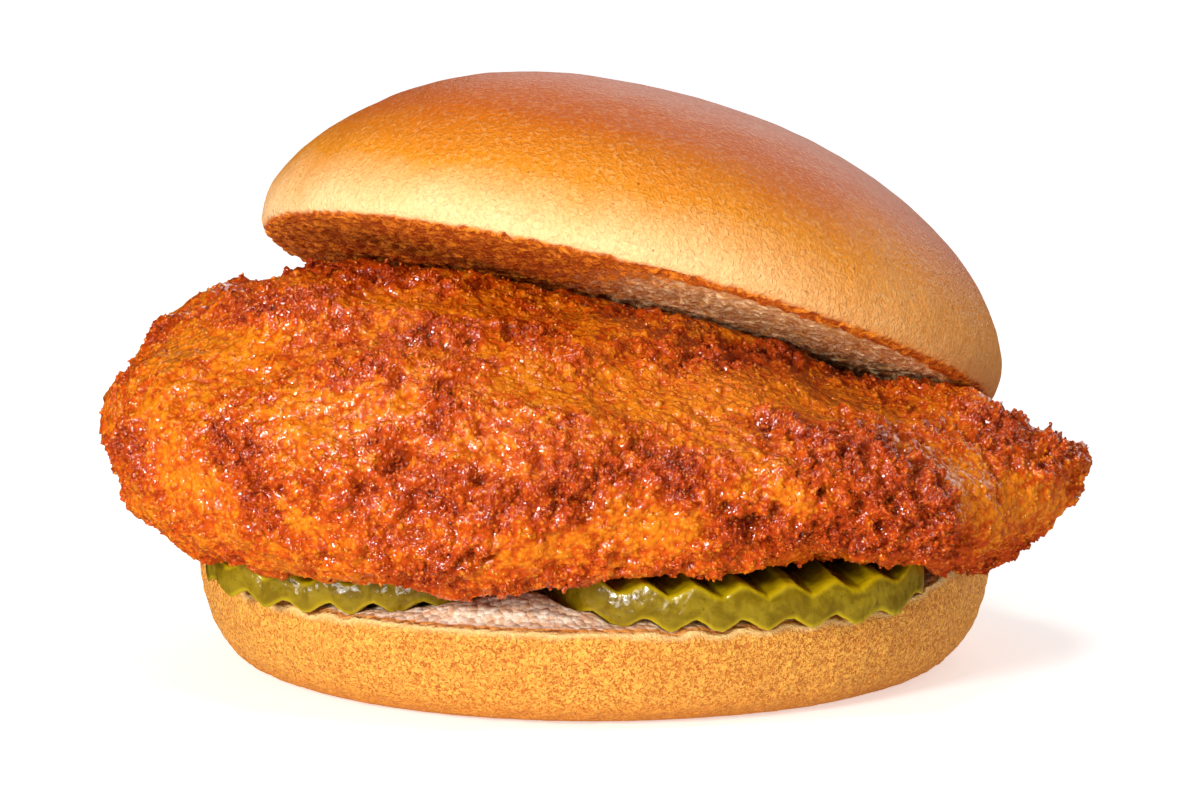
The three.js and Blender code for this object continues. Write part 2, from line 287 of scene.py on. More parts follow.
def show(
    name: str,
    mesh: bpy.types.Mesh,
    material: bpy.types.Material,
    node: str | None = None,
) -> bpy.types.Object:
    """Puts a finished mesh in the scene as a piece of the burger.

    Args:
        name: The piece's name.
        mesh: Its mesh, in its place.
        material: Its finish.
        node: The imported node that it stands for.

    Returns:
        The new object.
    """
    mesh.shade_smooth()
    mesh.materials.clear()
    mesh.materials.append(material)
    piece = bpy.data.objects.new(name, mesh)
    bpy.context.scene.collection.objects.link(piece)
    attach(piece, "root")
    if node:
        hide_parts(node)
    triangles = sum(len(face.vertices) - 2 for face in mesh.polygons)
    LOG.info("%s: %d triangles", name, triangles)
    return piece


# ---------------------------------------------------------------- finishes


def linear(shade: str) -> tuple[float, float, float, float]:
    """A linear colour from a web colour such as "d98a2b"."""
    parts = [int(shade[i : i + 2], 16) / 255 for i in (0, 2, 4)]
    channels = [p / 12.92 if p <= 0.04045 else ((p + 0.055) / 1.055) ** 2.4 for p in parts]
    return (channels[0], channels[1], channels[2], 1.0)


class Sketch:
    """Short hand for the shader nodes of one material, on Object coordinates."""

    def __init__(self, name: str, **surface: float | tuple[float, ...]) -> None:
        """Starts a material.

        Args:
            name: The material's name.
            **surface: Constants of the surface shader, its spaces written as underscores.
        """
        self.material = bpy.data.materials.new(name)
        self.material.use_nodes = True
        self.tree = self.material.node_tree
        self.surface = self.tree.nodes["Principled BSDF"]
        for key, value in surface.items():
            self.surface.inputs[key.replace("_", " ")].default_value = value
        self.place = self.node("ShaderNodeTexCoord").outputs["Object"]

    def node(self, kind: str, **settings: object) -> bpy.types.ShaderNode:
        """A new node with some of its settings."""
        made = self.tree.nodes.new(kind)
        for setting, value in settings.items():
            setattr(made, setting, value)
        return made

    def feed(self, inlet: Socket, value: object) -> None:
        """Links a socket to an inlet, or sets the inlet's constant."""
        if isinstance(value, bpy.types.NodeSocket):
            self.tree.links.new(value, inlet)
        else:
            inlet.default_value = value

    def attribute(self, name: str) -> Socket:
        """A number that is stored on the mesh."""
        return self.node("ShaderNodeAttribute", attribute_name=name).outputs["Fac"]

    def turned(self, location: Vector, rotation: Euler, scale: Vector | None = None) -> Socket:
        """Coordinates in a frame of their own.

        Args:
            location: Origin of that frame.
            rotation: How that frame is turned.
            scale: Size of its units, if they aren't metres.

        Returns:
            The coordinates' socket.
        """
        mapping = self.node("ShaderNodeMapping", vector_type="TEXTURE")
        self.feed(mapping.inputs["Vector"], self.place)
        mapping.inputs["Location"].default_value = location
        mapping.inputs["Rotation"].default_value = rotation
        mapping.inputs["Scale"].default_value = scale or Vector((1, 1, 1))
        return mapping.outputs["Vector"]

    def part(self, vector: Socket, axis: str) -> Socket:
        """One axis of some coordinates."""
        split = self.node("ShaderNodeSeparateXYZ")
        self.feed(split.inputs["Vector"], vector)
        return split.outputs[axis]

    def clouds(
        self,
        size: float,
        detail: float = 2.0,
        roughness: float = 0.5,
        distortion: float = 0.0,
        place: Socket | None = None,
    ) -> Socket:
        """Soft noise.

        Args:
            size: Width of its blots in millimetres.
            detail: Number of finer layers.
            roughness: How strong these are.
            distortion: How much the noise is stirred.
            place: Coordinates, if they aren't the piece's own.

        Returns:
            A number from 0 to 1.
        """
        made = self.node("ShaderNodeTexNoise")
        self.feed(made.inputs["Vector"], place or self.place)
        made.inputs["Scale"].default_value = 1.0 / (size * MM)
        made.inputs["Detail"].default_value = detail
        made.inputs["Roughness"].default_value = roughness
        made.inputs["Distortion"].default_value = distortion
        return made.outputs["Fac"]

    def cells(self, size: float, feature: str = "F1", place: Socket | None = None) -> Socket:
        """Distance to the nearest of many scattered points, or to the border between them."""
        made = self.node("ShaderNodeTexVoronoi", feature=feature)
        self.feed(made.inputs["Vector"], place or self.place)
        made.inputs["Scale"].default_value = 1.0 / (size * MM)
        return made.outputs["Distance"]

    def math(self, operation: str, first: object, second: object = 0.0) -> Socket:
        """One sum of two numbers."""
        made = self.node("ShaderNodeMath", operation=operation)
        self.feed(made.inputs[0], first)
        self.feed(made.inputs[1], second)
        return made.outputs[0]

    def ease(
        self, value: Socket, low: float, high: float, start: float = 0.0, end: float = 1.0
    ) -> Socket:
        """Eases a number from `start` at `low` to `end` at `high`."""
        made = self.node("ShaderNodeMapRange", interpolation_type="SMOOTHSTEP")
        for inlet, setting in zip(made.inputs, (value, low, high, start, end)):
            self.feed(inlet, setting)
        return made.outputs["Result"]

    def ramp(self, value: Socket, *stops: tuple[float, str]) -> Socket:
        """Colours along a number.

        Args:
            value: The number, from 0 to 1.
            *stops: Pairs of a number and a web colour, in order.

        Returns:
            The colour's socket.
        """
        made = self.node("ShaderNodeValToRGB")
        self.feed(made.inputs["Fac"], value)
        elements = made.color_ramp.elements
        while len(elements) < len(stops):
            elements.new(1.0)
        for element, (position, shade) in zip(elements, stops):
            element.position = position
            element.color = linear(shade)
        return made.outputs["Color"]

    def mix(
        self, share: object, under: object, over: object, blend: Blend = Blend.COVER
    ) -> Socket:
        """One colour laid over another.

        Args:
            share: How much of it is laid on, from 0 to 1.
            under: The colour below, a socket or a web colour.
            over: The colour above, a socket or a web colour.
            blend: How it is laid on.

        Returns:
            The colour's socket.
        """
        made = self.node("ShaderNodeMix", data_type="RGBA", blend_type=blend.value)
        self.feed(made.inputs["Factor"], share)
        for inlet, shade in ((made.inputs[6], under), (made.inputs[7], over)):
            self.feed(inlet, linear(shade) if isinstance(shade, str) else shade)
        return made.outputs[2]

    def bump(self, height: Socket, depth: float, below: Socket | None = None) -> Socket:
        """A fine relief.

        Args:
            height: The relief, from 0 to 1.
            depth: Its depth in millimetres.
            below: A coarser relief that it lies on.

        Returns:
            The normal's socket.
        """
        made = self.node("ShaderNodeBump")
        made.inputs["Strength"].default_value = 1.0
        made.inputs["Distance"].default_value = depth * MM
        self.feed(made.inputs["Height"], height)
        if below:
            self.feed(made.inputs["Normal"], below)
        return made.outputs["Normal"]

    def done(
        self, colour: Socket, normal: Socket, roughness: Socket | None = None
    ) -> bpy.types.Material:
        """Links the surface shader and returns the material."""
        self.feed(self.surface.inputs["Base Color"], colour)
        self.feed(self.surface.inputs["Normal"], normal)
        if roughness:
            self.feed(self.surface.inputs["Roughness"], roughness)
        return self.material


@dataclass(frozen=True)
class CrumbFinish:
    """The cut face of the bun: soft crumb, toasted towards the rim."""

    crumb: str = "ffdaa4"
    shade: str = "d6944e"
    toast: str = "f08c22"
    scorch: str = "ae4a08"

    def colour(self, sketch: Sketch) -> Socket:
        """The colour of the cut face.

        Args:
            sketch: The material that it is drawn in.

        Returns:
            The colour's socket.
        """
        pores = sketch.clouds(1.1, detail=3.0, roughness=0.6)
        crumb = sketch.mix(sketch.ease(pores, 0.4, 0.62), self.shade, self.crumb)
        streaks = sketch.clouds(1.6, detail=4.0, roughness=0.65, distortion=1.0)
        toast = sketch.mix(sketch.ease(streaks, 0.42, 0.62), self.scorch, self.toast)
        browned = sketch.math("ADD", sketch.attribute("toast"), sketch.math("SUBTRACT", streaks, 0.5))
        return sketch.mix(sketch.ease(browned, 0.25, 0.7), crumb, toast)


@dataclass(frozen=True)
class CrownFinish:
    """The crown's baked skin: satin, fine grained and paler towards the rim, partly by a painted highlight on
    the lower left, with painted shade towards the right, in the grain and in its pinholes.
    """

    centre: Vector
    rotation: Euler
    # The rim colour is partly the crust's own paler colour and partly a painted highlight.
    rim: str = "f6c68a"
    flank: str = "e08818"
    dome: str = "cc6000"
    top: str = "c45a08"
    # The next colour is painted shade for the right side of the lower band.
    tan: str = "dc8c34"

    def material(self) -> bpy.types.Material:
        """Draws the material."""
        sketch = Sketch(
            "crown_bread",
            Subsurface_Weight=0.08,
            Subsurface_Scale=1.5 * MM,
            Subsurface_Radius=(1.0, 0.45, 0.15),
            Specular_IOR_Level=0.18,
            Coat_Weight=0.12,
            Coat_Roughness=0.28,
        )
        local = sketch.turned(self.centre, self.rotation)
        blots = sketch.clouds(13.0, detail=3.0)
        height = sketch.math("DIVIDE", sketch.part(local, "Z"), 30.0 * MM)
        height = sketch.math("ADD", height, sketch.math("MULTIPLY", sketch.math("SUBTRACT", blots, 0.5), 0.25))
        # The pale rim is partly the crust's own colour and partly a painted highlight on the lower band.
        skin = sketch.ramp(height, (0.04, self.rim), (0.3, self.flank), (0.58, self.dome), (0.92, self.top))
        # Painted shade: the lower band turns tan towards +X, so the painted highlight keeps to the left, where
        # the key light falls.
        side = sketch.ease(sketch.part(local, "X"), -15.0 * MM, 35.0 * MM, 0.0, 0.8)
        low = sketch.ease(height, 0.15, 0.55, 1.0, 0.0)
        skin = sketch.mix(sketch.math("MULTIPLY", side, low), skin, self.tan)
        fine = sketch.clouds(0.55, detail=1.0, roughness=0.5, distortion=0.8)
        # Painted shade and painted highlights on the leather grain: darker where its relief is low, lighter on
        # its tops.
        skin = sketch.mix(sketch.ease(fine, 0.3, 0.5, 0.2, 0.0), skin, "a84c00")
        skin = sketch.mix(sketch.ease(fine, 0.5, 0.7, 0.0, 0.16), skin, "ffdca0")
        # Painted shade: small dark dots for the skin's pinholes.
        pits = sketch.ease(sketch.cells(2.6), 0.03, 0.1, 1.0, 0.0)
        skin = sketch.mix(sketch.math("MULTIPLY", pits, 0.6), skin, "7a3408")
        cut = sketch.attribute("cut")
        colour = sketch.mix(cut, skin, CrumbFinish().colour(sketch))
        roughness = sketch.ease(cut, 0.2, 0.8, 0.44, 0.9)
        wrinkles = sketch.bump(sketch.clouds(2.4, detail=2.0, distortion=0.4), 0.12)
        leather = sketch.bump(fine, 0.3, wrinkles)
        sketch.feed(sketch.surface.inputs["Coat Normal"], leather)
        return sketch.done(colour, leather, roughness)


@dataclass(frozen=True)
class HeelFinish:
    """The heel's soft side: close pores between pale worm-like ridges, with painted light where the side turns
    up towards the cut.
    """

    ridge: str = "f8b64a"
    pore: str = "b85e0a"
    foot: str = "cc7a1e"
    # The next colour is painted light for where the side turns up towards the cut.
    brink: str = "ffd894"

    def material(self) -> bpy.types.Material:
        """Draws the material."""
        sketch = Sketch(
            "heel_bread",
            Subsurface_Weight=0.2,
            Subsurface_Scale=2.5 * MM,
            Subsurface_Radius=(1.0, 0.6, 0.35),
            Specular_IOR_Level=0.35,
        )
        worms = sketch.clouds(0.42, detail=1.0, roughness=0.5, distortion=1.2)
        blots = sketch.clouds(9.0, detail=3.0)
        skin = sketch.mix(sketch.ease(worms, 0.28, 0.7), self.pore, self.ridge)
        skin = sketch.mix(sketch.ease(blots, 0.4, 0.75, 0.0, 0.15), skin, self.foot)
        foot = sketch.ease(sketch.part(sketch.place, "Z"), 0.0, 4.5 * MM, 0.75, 0.0)
        skin = sketch.mix(foot, skin, self.foot)
        # Painted light: the side's upper shoulder is lightened where the low lights and the fillet's overhang
        # leave it in shade.
        skin = sketch.mix(sketch.math("MULTIPLY", sketch.attribute("brink"), 0.7), skin, self.brink)
        cut = sketch.attribute("cut")
        colour = sketch.mix(cut, skin, CrumbFinish(crumb="f6e0c8", shade="e0b088", toast="e89a44", scorch="c06a20").colour(sketch))
        swell = sketch.bump(sketch.clouds(2.6, detail=2.0), 0.06)
        skinned = sketch.math("SUBTRACT", 1.0, cut)
        pores = sketch.bump(sketch.math("MULTIPLY", worms, skinned), 0.34, swell)
        granules = sketch.cells(0.9)
        granules = sketch.math("MULTIPLY", granules, granules)
        crumb = sketch.bump(sketch.math("MULTIPLY", granules, cut), -0.4, pores)
        roughness = sketch.ease(cut, 0.2, 0.8, 0.62, 0.9)
        return sketch.done(colour, crumb, roughness)


@dataclass(frozen=True)
class PickleFinish:
    """Wet pickle: a translucent green rind with paler edges."""

    rind: str = "907800"
    dark: str = "745c00"
    edge: str = "b69e04"
    flesh: str = "7e6600"
    speck: str = "4a3e02"

    def material(self) -> bpy.types.Material:
        """Draws the material."""
        sketch = Sketch(
            "pickle_wet",
            Subsurface_Weight=0.08,
            Subsurface_Scale=1.2 * MM,
            Subsurface_Radius=(0.8, 0.9, 0.05),
            Specular_IOR_Level=0.2,
            Coat_Weight=1.0,
            Coat_Roughness=0.05,
            Coat_IOR=1.65,
        )
        mottle = sketch.clouds(2.6, detail=4.0, roughness=0.6, distortion=0.6)
        body = sketch.mix(sketch.ease(mottle, 0.36, 0.62), self.dark, self.rind)
        specks = sketch.ease(sketch.cells(0.9), 0.06, 0.22, 0.6, 0.0)
        body = sketch.mix(specks, body, self.speck)
        body = sketch.mix(sketch.attribute("flesh"), body, self.flesh)
        colour = sketch.mix(sketch.ease(sketch.attribute("edge"), 0.6, 1.0), body, self.edge)
        swell = sketch.bump(sketch.clouds(2.4, detail=2.0), 0.3)
        film = sketch.bump(sketch.clouds(0.7, detail=3.0), 0.08, swell)
        sketch.feed(sketch.surface.inputs["Coat Normal"], film)
        return sketch.done(colour, film, sketch.ease(mottle, 0.3, 0.7, 0.3, 0.5))


@dataclass(frozen=True)
class BreadingFinish:
    """Fried breading: golden where it is thin and red brown on its crags, with painted shade in its hollows
    and between its beads, and painted glints on the beads' tops.
    """

    golden: str = "e27e0a"
    orange: str = "c84c02"
    russet: str = "ac3600"
    brown: str = "801f00"
    # The next colour is painted shade for the crags' hollows.
    crease: str = "781c00"
    fleck: str = "541a04"
    # The next colour is a painted highlight on the beads' tops, standing in for glints.
    oil: str = "ffae38"
    beads: tuple[tuple[float, float], ...] = ((1.2, 0.3), (0.64, 0.2))

    def material(self) -> bpy.types.Material:
        """Draws the material."""
        sketch = Sketch(
            "fried_breading",
            Subsurface_Weight=0.05,
            Subsurface_Scale=1.0 * MM,
            Subsurface_Radius=(1.0, 0.35, 0.05),
            Specular_IOR_Level=0.1,
            Coat_Weight=0.8,
            Coat_Roughness=0.06,
            Coat_IOR=1.85,
        )
        flecks = sketch.clouds(1.3, detail=3.0, roughness=0.65)
        uneven = sketch.math("MULTIPLY", sketch.math("SUBTRACT", flecks, 0.5), 0.7)
        relief = sketch.bump(sketch.clouds(1.9, detail=3.0, roughness=0.6), 0.16)
        gaps = None
        for size, slope in self.beads:
            away = sketch.cells(size)
            height = sketch.math("MULTIPLY", away, away)
            relief = sketch.bump(height, -slope * size, relief)
            # Painted shade: browner in the gaps between the beads of the relief.
            gap = sketch.ease(away, 0.3, 0.75)
            gaps = sketch.math("ADD", gaps, gap) if gaps else gap
        browned = sketch.math("ADD", sketch.attribute("brown"), uneven)
        browned = sketch.math("ADD", browned, sketch.math("MULTIPLY", gaps, 0.16))
        crust = sketch.ramp(
            browned, (0.1, self.golden), (0.42, self.orange), (0.75, self.russet), (1.0, self.brown)
        )
        # Painted shade in the hollows among the crags' nodules and knobs.
        crust = sketch.mix(sketch.attribute("hollow"), crust, self.crease)
        dots = sketch.ease(sketch.cells(4.3), 0.03, 0.07, 0.8, 0.0)
        crust = sketch.mix(dots, crust, self.fleck)
        # Painted highlight: lighter on the tops of the finest beads, standing in for glints.
        colour = sketch.mix(sketch.ease(away, 0.05, 0.36, 0.45, 0.0), crust, self.oil)
        sketch.feed(sketch.surface.inputs["Coat Normal"], relief)
        return sketch.done(colour, relief, sketch.ease(flecks, 0.3, 0.7, 0.45, 0.6))


# ---------------------------------------------------------------- bread


@dataclass
class BunHeel:
    """The lower half of the bun."""

    spacing: float = 0.8
    radius: float = 51.3
    rim_width: float = 1.3
    mound_centre: tuple[float, float] = (-8.0, -43.5)
    mound_reach: tuple[float, float] = (14.0, 5.5)
    mound_height: float = 2.8

    def build(self) -> bpy.types.Object:
        """Models and dresses the heel.

        Returns:
            The finished piece.
        """
        mesh = as_mesh(merged_copy("bun_heel"), "heel_bread")
        mesh = modified(mesh, "REMESH", mode="VOXEL", voxel_size=self.spacing * MM)
        shape = softened(mesh, 5)
        shape.normal_update()
        side = [f for f in shape.faces if abs(f.normal.z) < 0.9 or self.near_front_rim(f)]
        refine(shape, side)
        mesh = as_mesh(shape, "heel_bread")
        self.roughen(mesh)
        return show("heel_bread", mesh, HeelFinish().material(), "bun_heel")

    def near_front_rim(self, face: bmesh.types.BMFace) -> bool:
        """Whether a face is on the cut where it shows."""
        spot = face.calc_center_median()
        radius = math.hypot(spot.x, spot.y)
        return face.normal.z > 0 and radius > 36 * MM

    def roughen(self, mesh: bpy.types.Mesh) -> None:
        """Gives the side its pores and the cut face its crumb."""
        points, normals = points_of(mesh), normals_of(mesh)
        radius = np.hypot(points[:, 0], points[:, 1]) / MM
        height = points[:, 2] / MM
        upward = normals[:, 2]
        cut = smooth_step(upward, 0.5, 0.8)
        rim = smooth_step(radius, self.radius - 2.4 * self.rim_width, self.radius - self.rim_width)
        resting = smooth_step(height, 0.0, 1.2)
        side = 0.16 * clouds(points, 1.7, 3) + 0.22 * clouds(points, 9.0, 5)
        pits = grains(points, 1.9, 7)
        crumb = 0.3 * (pits - 0.6) + 0.15 * clouds(points, 1.1, 9)
        offset = points[:, :2] / MM - np.array(self.mound_centre)
        offset = offset / np.array(self.mound_reach)
        mound = np.exp(-((offset**2).sum(axis=1)) * 1.6)
        lift = cut * (1.0 - rim) * (crumb + self.mound_height * mound)
        rise = (side * (1.0 - cut) * resting + lift) * MM
        room = room_round(points, ("pickle_left", "pickle_right", "chicken_fillet"))
        rise = np.minimum(rise, np.maximum(room - 0.1 * MM, 0.0))
        store(mesh, "cut", cut)
        # Share of painted light: where the side turns up towards the cut.
        store(mesh, "brink", smooth_step(upward, 0.05, 0.4))
        toast = 1.0 - smooth_step(upward, 0.75, 0.98)
        store(mesh, "toast", toast + 0.3 * smooth_step(radius, 44.0, 50.0) - 0.4 * mound)
        set_points(mesh, points + normals * rise[:, None])


@dataclass
class BunCrown:
    """The tilted upper half of the bun."""

    spacing: float = 0.8
    centre: tuple[float, float, float] = (3.7, 3.0, 42.7)
    roll: float = 14.2
    pitch: float = 15.4
    radius: float = 48.8
    pleats: int = 70

    def turn(self) -> Matrix:
        """How the crown is tilted."""
        roll = Matrix.Rotation(math.radians(self.roll), 3, "Y")
        return roll @ Matrix.Rotation(-math.radians(self.pitch), 3, "X")

    def build(self) -> bpy.types.Object:
        """Models and dresses the crown.

        Returns:
            The finished piece.
        """
        mesh = as_mesh(merged_copy("bun_crown"), "crown_bread")
        mesh = modified(mesh, "REMESH", mode="VOXEL", voxel_size=self.spacing * MM)
        shape = softened(mesh, 6)
        shape.normal_update()
        down = self.turn() @ Vector((0, 0, -1))
        refine(shape, [f for f in shape.faces if f.normal.dot(down) > 0.3])
        mesh = as_mesh(shape, "crown_bread")
        self.roughen(mesh)
        finish = CrownFinish(Vector(self.centre) * MM, self.turn().to_euler())
        return show("crown_bread", mesh, finish.material(), "bun_crown")

    def roughen(self, mesh: bpy.types.Mesh) -> None:
        """Gives the skin its pleats and the cut face its crumb."""
        points, normals = points_of(mesh), normals_of(mesh)
        turn = np.array(self.turn())
        local = (points - np.array(self.centre) * MM) @ turn
        facing = normals @ turn
        radius = np.hypot(local[:, 0], local[:, 1]) / MM
        angle = np.arctan2(local[:, 1], local[:, 0])
        cut = smooth_step(-facing[:, 2], 0.6, 0.9)
        rim = smooth_step(radius, self.radius - 4.0, self.radius - 2.2)
        around = np.stack([np.cos(angle), np.sin(angle), local[:, 2] * 6.0], axis=1)
        near_rim = smooth_step(local[:, 2] / MM, 1.0, 4.0) * (1 - smooth_step(local[:, 2] / MM, 7.0, 17.0))
        pleats = clouds(around, 1000.0 / self.pleats * 4.0, 4, 2) * near_rim
        skin = 0.14 * pleats + 0.12 * clouds(points, 7.0, 6)
        crumb = 0.5 * (grains(points, 1.8, 8) - 0.6) + 0.3 * clouds(points, 1.0, 12)
        rise = (skin * (1.0 - cut) + cut * crumb) * MM
        room = room_round(points, ("chicken_fillet",))
        rise = np.minimum(rise, np.maximum(room - 0.1 * MM, 0.0))
        store(mesh, "cut", cut)
        # Toasting on the left of the cut face: partly real toast, partly painted shade of the dark gap above
        # the fillet.
        left = smooth_step(-local[:, 0] / MM, -12.0, 14.0)
        store(mesh, "toast", 0.9 * rim + left * 0.75 + 0.25 * smooth_step(radius, 30.0, 46.0))
        set_points(mesh, points + normals * rise[:, None])


# ---------------------------------------------------------------- pickles


@dataclass
class PickleSlice:
    """One crinkle-cut slice of pickle."""

    node: str
    seed: int
    sharp: float = 0.55
    crease: float = 0.6

    def build(self, material: bpy.types.Material) -> bpy.types.Object:
        """Models and dresses the slice.

        Args:
            material: The wet green finish.

        Returns:
            The finished piece.
        """
        shape = merged_copy(self.node)
        edge = shape.verts.layers.float.new("edge")
        flesh = shape.verts.layers.float.new("flesh")
        shape.normal_update()
        crease = shape.edges.layers.float.new("crease_edge")
        for line in shape.edges:
            if line.calc_face_angle(0.0) > self.sharp:
                line[crease] = self.crease
                for corner in line.verts:
                    corner[edge] = 1.0
        for corner in shape.verts:
            corner[flesh] = 1.0 if abs(corner.normal.z) > 0.75 else 0.0
        bmesh.ops.join_triangles(
            shape, faces=shape.faces, angle_face_threshold=0.6, angle_shape_threshold=0.8
        )
        mesh = as_mesh(shape, self.node + "_slice")
        mesh = modified(mesh, "SUBSURF", levels=3, render_levels=3)
        points, normals = points_of(mesh), normals_of(mesh)
        swell = (0.12 * clouds(points, 2.6, self.seed) + 0.06 * clouds(points, 1.1, self.seed + 1)) * MM
        room = room_round(points, ("bun_heel", "chicken_fillet"))
        swell = np.minimum(swell, np.maximum(room - 0.1 * MM, 0.0))
        set_points(mesh, points + normals * swell[:, None])
        return show(self.node + "_slice", mesh, material, self.node)


# ---------------------------------------------------------------- fillet


@dataclass(frozen=True)
class Patch:
    """A patch of the breading between two points, in millimetres."""

    start: tuple[float, float, float]
    end: tuple[float, float, float]
    reach: float
    browning: float

    def share(self, points: Field) -> Field:
        """How much of the patch each point has.

        Args:
            points: Places in metres, one a row.

        Returns:
            Numbers from 0 to 1, strongest on the line between the patch's two points.
        """
        start, end = np.array(self.start) * MM, np.array(self.end) * MM
        away = segment_distance(points, start, end) / (self.reach * MM)
        return np.exp(-(away**2))


CRAGS: dict[str, Patch] = {
    "knuckle": Patch((-45, -22, 48), (-30, -37, 48), 4.5, 1.0),
    "left shoulder": Patch((-56, -8, 43), (-53, -12, 45), 3, 0.8),
    "left edge": Patch((-60, -20, 31), (-57, -34, 31), 4, 0.7),
    "left patch": Patch((-45, -46, 35), (-39, -53, 32), 5, 0.95),
    "upper left nodules": Patch((-32, -46, 44), (-30, -48, 43), 2.6, 0.7),
    "upper left cluster": Patch((-27, -47, 45), (-24, -51, 42), 3, 0.6),
    "lone bump": Patch((-18, -39, 48), (-16, -40, 47), 2.6, 0.9),
    "small bump": Patch((-24, -41, 47), (-21, -42, 47), 2.2, 0.7),
    "upper middle": Patch((-9, -36, 47), (-3, -43, 44), 4.6, 0.85),
    "under the crown, left": Patch((-38, 0, 50), (-28, -19, 52), 3.5, 1.0),
    "under the crown, right": Patch((-25, -20, 52), (-19, -23, 51), 3.2, 1.0),
    "left of middle": Patch((-30, -57, 31), (-29, -57, 28), 3.6, 0.8),
    "middle ridge": Patch((-24, -57, 32), (-16, -59, 32), 3.8, 0.7),
    "middle": Patch((-13, -60, 30), (-6, -59, 29), 4.4, 0.95),
    "lower middle": Patch((-21, -58, 26), (-16, -60, 24), 4, 0.7),
    "upper ridge": Patch((-26, -54, 37), (-20, -55, 37), 2.6, 0.5),
    "diagonal ridge": Patch((-18, -53, 41), (-15, -54, 40), 2.6, 0.7),
    "centre": Patch((-4, -59, 33), (5, -57, 31), 4.4, 0.95),
    "centre knob": Patch((3, -51, 39), (5, -52, 37), 2.8, 0.85),
    "right of the knob": Patch((8, -56, 34), (11, -57, 33), 2.5, 0.8),
    "right of centre": Patch((12, -57, 31), (15, -57, 29), 3.8, 0.8),
    "right cluster": Patch((22, -47, 38), (27, -51, 35), 4.2, 0.85),
    "flake": Patch((15, -34, 43), (23, -18, 41), 3, 0.8),
    "right": Patch((33, -48, 35), (40, -50, 28), 5, 1.0),
    "lower right": Patch((27, -54, 29), (30, -52, 24), 4, 0.9),
    "right belly": Patch((37, -51, 24), (42, -47, 21), 4, 0.7),
    "lower ridge": Patch((18, -55, 26), (24, -53, 24), 3, 0.85),
    "nodule by the crown": Patch((42, -18, 38), (45, -22, 37), 3, 0.6),
    "fold": Patch((47, -26, 35), (54, -18, 32), 3, 0.55),
    "thin end": Patch((52, -29, 32), (61, -22, 29), 3.4, 0.65),
    "upper fold": Patch((42, -30, 39), (51, -25, 36), 3.6, 0.7),
    "side fold": Patch((43, -36, 34), (49, -31, 31), 4.0, 0.6),
    "back left": Patch((-45, 33, 34), (-30, 37, 28), 6, 0.9),
    "back middle": Patch((-12, 39, 30), (4, 38, 22), 6, 0.8),
    "back right": Patch((24, 33, 28), (38, 27, 22), 5, 0.9),
    "left side": Patch((-61, 6, 36), (-62, -4, 26), 5, 0.7),
}

GOLDEN: dict[str, Patch] = {
    "left of centre": Patch((-32, -51, 39), (-29, -55, 35), 5, 1.0),
    "upper left": Patch((-51, -22, 44), (-43, -33, 45), 3.6, 0.8),
    "upper band": Patch((-27, -32, 50), (-12, -30, 48), 4.5, 0.9),
    "centre band": Patch((-1, -48, 41), (12, -45, 39), 5, 1.0),
    "right band": Patch((15, -42, 40), (31, -29, 37), 5, 0.95),
    "below the centre": Patch((3, -58, 28), (8, -56, 27), 3.6, 0.9),
    "right end": Patch((44, -41, 31), (46, -44, 28), 3.4, 0.8),
    "left end": Patch((-52, -39, 35), (-49, -43, 31), 3.6, 0.8),
    "middle": Patch((-10, -50, 42), (-5, -51, 41), 3.4, 0.8),
    "dull valley": Patch((18, -57, 30), (24, -56, 29), 2.8, 0.7),
    "under the thin end": Patch((51, -37, 26), (55, -31, 22), 4, 0.7),
    "back": Patch((-8, 39, 36), (20, 36, 31), 5, 0.8),
}


@dataclass(frozen=True)
class CrumbKind:
    """One kind of crumb: its number, its radii in millimetres and its form."""

    name: str
    count: int
    radii: tuple[float, float]
    chunky: bool = False


CRUMB_KINDS = (
    CrumbKind("breading_crumbs", 1500, (0.3, 0.75), chunky=True),
    CrumbKind("breading_nubs", 9500, (0.35, 0.42)),
    CrumbKind("breading_granules", 9500, (0.29, 0.35)),
    CrumbKind("breading_grit", 9500, (0.22, 0.29)),
    CrumbKind("breading_dust", 9500, (0.16, 0.22)),
)


